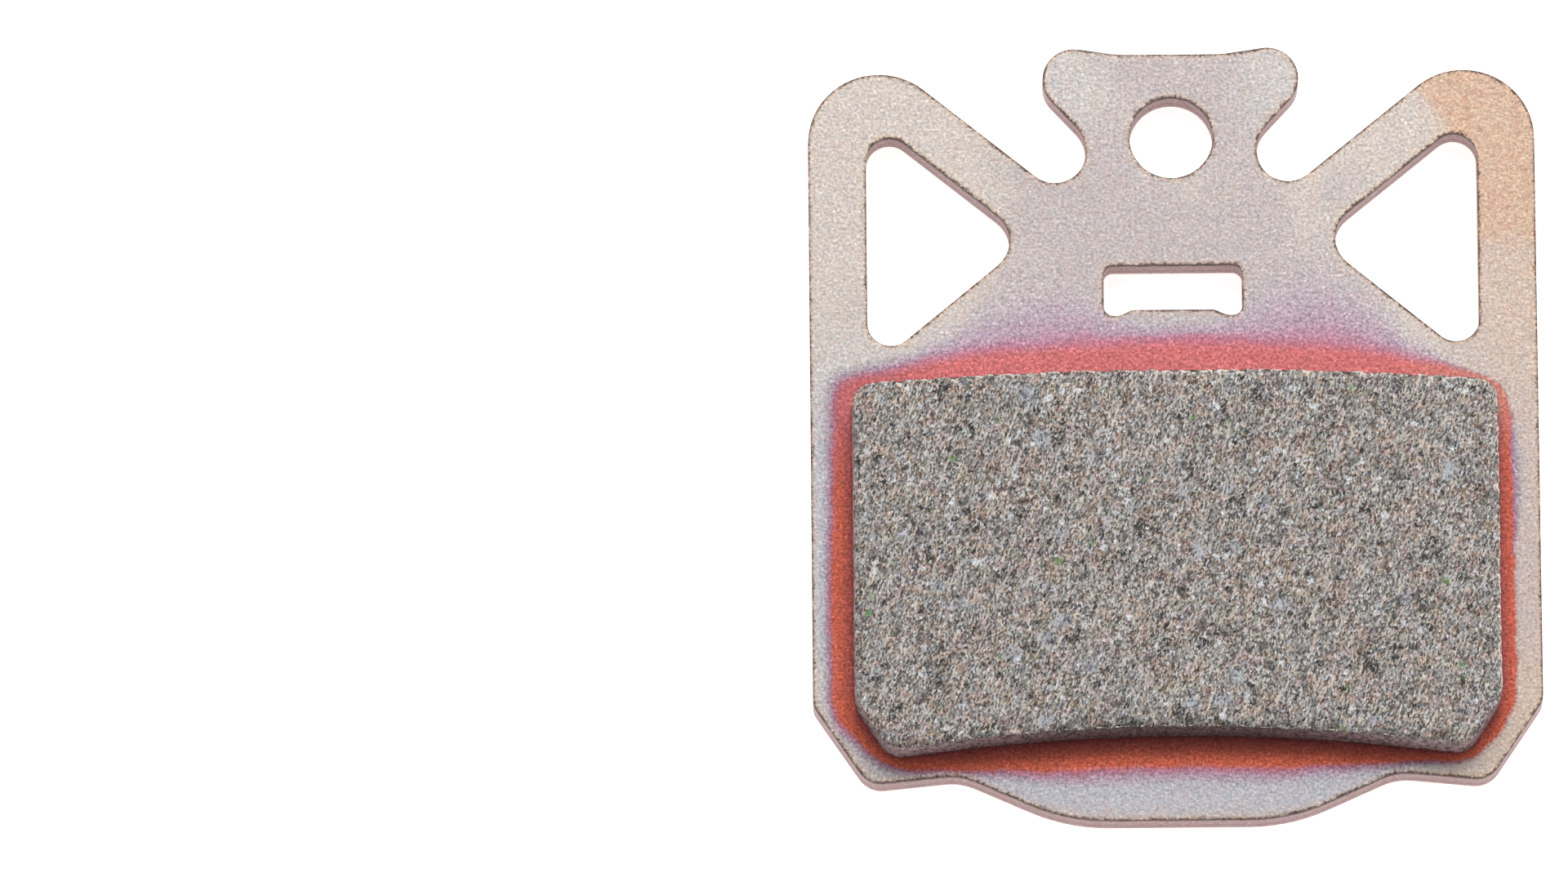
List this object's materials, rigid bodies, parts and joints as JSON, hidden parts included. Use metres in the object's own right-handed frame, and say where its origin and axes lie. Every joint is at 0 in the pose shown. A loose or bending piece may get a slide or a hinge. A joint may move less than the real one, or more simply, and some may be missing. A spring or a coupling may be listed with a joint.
{
  "type": "bicycle disc brake pad",
  "caption": "Flat steel backing plate with a lobed tab, pin hole and triangular windows, carrying a block of sintered friction compound that rubs on the brake disc.",
  "frame": {"origin": "axis of the retaining-pin hole, at the plate's front face on which the lining sits", "axes": "+Y up through the tab, +Z out of the friction face towards the disc, +X across the pad"},
  "size_m": [0.0374, 0.0409, 0.0042],
  "materials": {
    "coppered_steel": "blasted copper-coloured plating with heat tint round the lining",
    "friction_compound": "ground granular sintered compound"
  },
  "bodies": {
    "root": {"backing_plate": "coppered_steel", "friction_lining": "friction_compound"}
  },
  "joints": []
}
